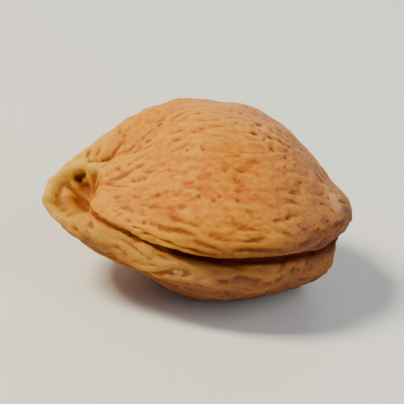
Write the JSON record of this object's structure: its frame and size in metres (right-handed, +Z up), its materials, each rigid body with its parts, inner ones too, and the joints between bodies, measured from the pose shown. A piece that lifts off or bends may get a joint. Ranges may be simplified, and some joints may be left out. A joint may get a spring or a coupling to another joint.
{
  "type": "dried apricot",
  "caption": "Whole dried apricot with shrunken, finely folded skin, a deep cleft between two lips down one side, and a puckered stem hollow.",
  "frame": {"origin": "bottom centre of the bounding box, on the surface that the fruit rests on", "axes": "+X from the stem end to the tip, -Y towards the cleft, +Z up through the upper cheek"},
  "size_m": [0.0334, 0.027, 0.019],
  "materials": {
    "skin": "dull, slightly waxy, orange-brown with a pale crest on each fold and dark brown in each crease"
  },
  "bodies": {
    "root": {"apricot": "skin"}
  },
  "joints": []
}
